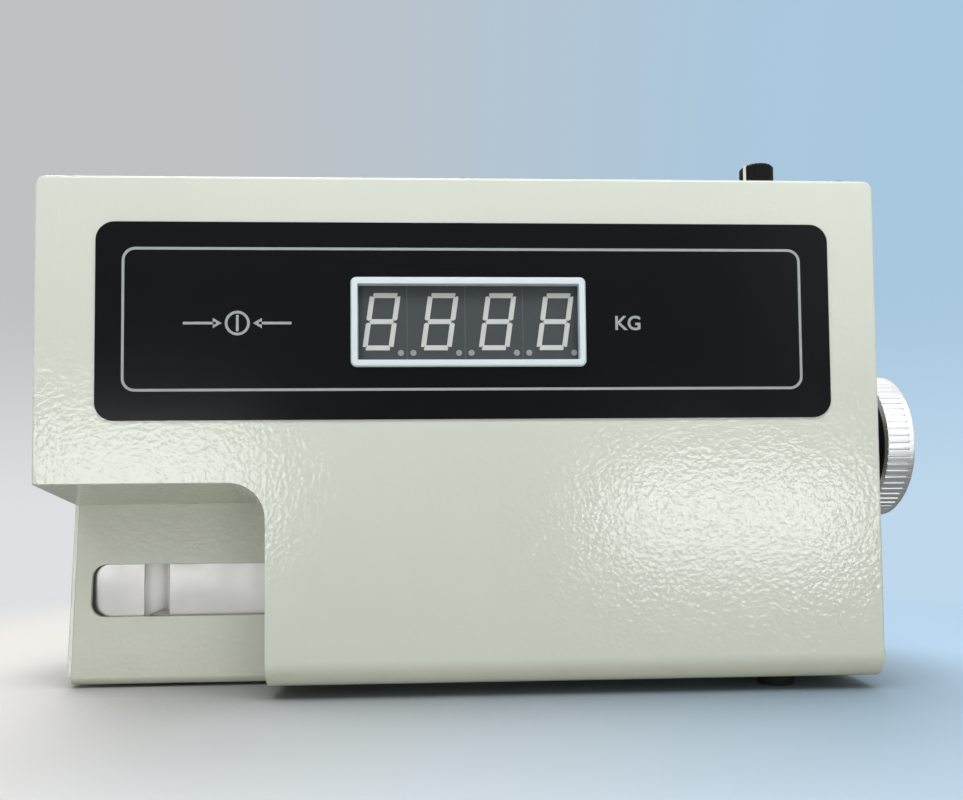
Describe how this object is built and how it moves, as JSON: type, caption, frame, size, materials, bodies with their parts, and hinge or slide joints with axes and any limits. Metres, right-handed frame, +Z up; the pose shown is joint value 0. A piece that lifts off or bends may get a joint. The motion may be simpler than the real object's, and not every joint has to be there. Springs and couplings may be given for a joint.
{
  "type": "tablet hardness tester",
  "caption": "Bench tester that crushes a tablet: painted sheet-metal case with digital display, corner sample bay, steel jaws, geared side handwheel with lead screw, and a zero knob.",
  "frame": {"origin": "on the bench, in the plane of the feet, under the middle of the whole outline, handwheel and rear fittings included", "axes": "+X to the right along the case and the handwheel's axis, +Y to the back, +Z up"},
  "size_m": [0.3176, 0.109, 0.1928],
  "materials": {
    "shell_paint": "textured gloss",
    "rubber": "matte",
    "plated_screw": "satin",
    "label_black": "gloss",
    "bezel_white": "satin",
    "digit_grey": "matte",
    "circuit_board": "satin",
    "standoff_brass": "turned",
    "welded_frame": "primed",
    "polished_steel": "polished",
    "bronze": "turned",
    "machined_steel": "machined",
    "turned_aluminium": "turned",
    "black_plastic": "moulded",
    "component_black": "moulded",
    "pin_nickel": "plated",
    "core_iron": "varnished",
    "coil_tape": "taped"
  },
  "bodies": {
    "case": {"main_shell": "shell_paint", "top_cover": "shell_paint", "bay_hood": "shell_paint", "bay_wall": "shell_paint", "feet": "rubber", "case_screws": "plated_screw", "front_label": "label_black", "display_bezel": "bezel_white", "digit_modules": "digit_grey", "display_board": "circuit_board", "display_standoffs": "standoff_brass", "press_frame": "welded_frame", "anvil": "polished_steel", "tablet_rest": "polished_steel", "ram_guide": "welded_frame", "bearing_plate": "welded_frame", "bronze_bushes": "bronze", "zero_pot": "machined_steel", "main_board": "circuit_board", "board_standoffs": "standoff_brass", "board_parts": "component_black", "transformer_core": "core_iron", "transformer_coil": "coil_tape", "mains_inlet": "black_plastic", "inlet_pins": "pin_nickel", "switch_frame": "black_plastic", "fuse_holder": "black_plastic"},
    "handwheel": {"wheel_cap": "turned_aluminium", "wheel_core": "black_plastic", "wheel_shaft": "machined_steel", "drive_gear": "machined_steel"},
    "screw": {"lead_screw": "machined_steel", "screw_gear": "machined_steel"},
    "ram": {"ram_bar": "polished_steel", "load_cell": "machined_steel", "ram_sleeve": "machined_steel", "travel_nut": "bronze"},
    "knob": {"zero_knob": "black_plastic", "pot_shaft": "machined_steel"},
    "rocker": {"switch_rocker": "black_plastic"}
  },
  "joints": [
    {"name": "handwheel_turn", "type": "hinge", "parent": "case", "child": "handwheel", "pos_m": [0.14813, -0.00245, 0.0875], "axis": [1, 0, 0], "range_deg": [-1440, 2880]},
    {"name": "screw_turn", "type": "hinge", "parent": "case", "child": "screw", "pos_m": [0.08822, -0.00245, 0.0355], "axis": [1, 0, 0], "range_deg": [-2880, 1440]},
    {"name": "ram_slide", "type": "slide", "parent": "case", "child": "ram", "axis": [1, 0, 0], "range_m": [-0.008, 0.016]},
    {"name": "zero_knob_turn", "type": "hinge", "parent": "case", "child": "knob", "pos_m": [0.10082, -0.02745, 0.17875], "axis": [0, 0, 1], "range_deg": [-150, 150]},
    {"name": "switch_rocker_tip", "type": "hinge", "parent": "case", "child": "rocker", "pos_m": [0.07222, 0.04755, 0.066], "axis": [1, 0, 0], "range_deg": [-20, 0]}
  ],
  "couplings": [
    {"joint": "handwheel_turn", "follows": "ram_slide", "rad_per_m": 3141.6},
    {"joint": "screw_turn", "follows": "ram_slide", "rad_per_m": -3141.6}
  ]
}
